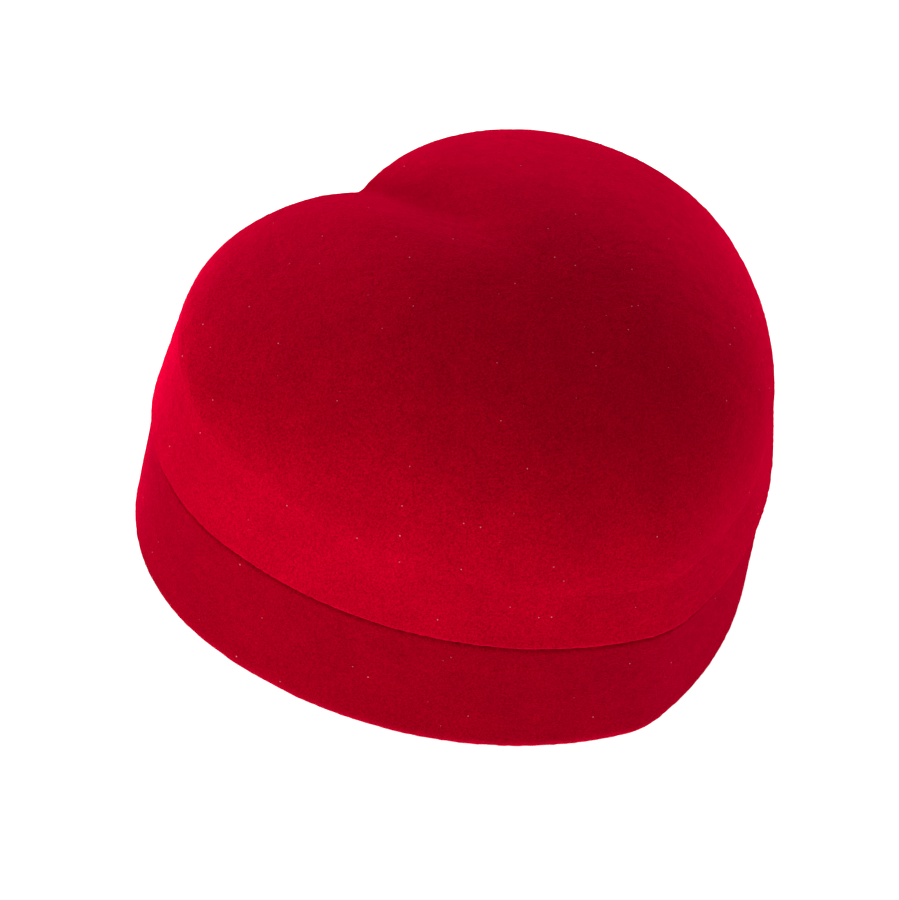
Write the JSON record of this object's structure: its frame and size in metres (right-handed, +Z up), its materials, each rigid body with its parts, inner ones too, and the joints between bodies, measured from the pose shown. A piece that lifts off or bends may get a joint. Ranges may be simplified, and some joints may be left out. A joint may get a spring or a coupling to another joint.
{
  "type": "heart-shaped trinket box",
  "caption": "Small heart-shaped flocked ring box with a puffed, sprung, hinged lid, a slit ring cushion and a satin lid lining.",
  "frame": {"origin": "on the underside of the base, in the middle of the lid's outline", "axes": "+X across the two lobes, +Y towards the cleft and the hinge, +Z up"},
  "size_m": [0.05, 0.0466, 0.0313],
  "materials": {
    "red_velvet": "flocked velvet",
    "red_flock_frame": "flocked plastic",
    "card": "matt board",
    "foam": "open-cell foam",
    "pad_velvet": "velvet",
    "wadding": "polyester wadding",
    "satin": "satin",
    "hinge_metal": "plated",
    "rivet_metal": "plated",
    "pin_steel": "drawn",
    "spring_steel": "drawn wire"
  },
  "bodies": {
    "base": {"base_shell": "red_velvet", "base_liner": "red_flock_frame", "pad_card": "card", "pad_foam_front": "foam", "pad_foam_rear": "foam", "pad_cover_front": "pad_velvet", "pad_cover_rear": "pad_velvet", "hinge_base_leaf": "hinge_metal", "hinge_base_rivets": "rivet_metal", "hinge_pin": "pin_steel", "hinge_spring": "spring_steel"},
    "lid": {"lid_shell": "red_velvet", "lid_liner": "red_flock_frame", "lid_card": "card", "lid_wadding": "wadding", "lid_satin": "satin", "hinge_lid_leaf": "hinge_metal", "hinge_lid_rivets": "rivet_metal"}
  },
  "joints": [
    {"name": "lid_hinge", "type": "hinge", "parent": "base", "child": "lid", "pos_m": [0, 0.02255, 0.0119], "axis": [-1, 0, 0], "range_deg": [0, 100], "deforming": ["hinge_spring"]}
  ]
}
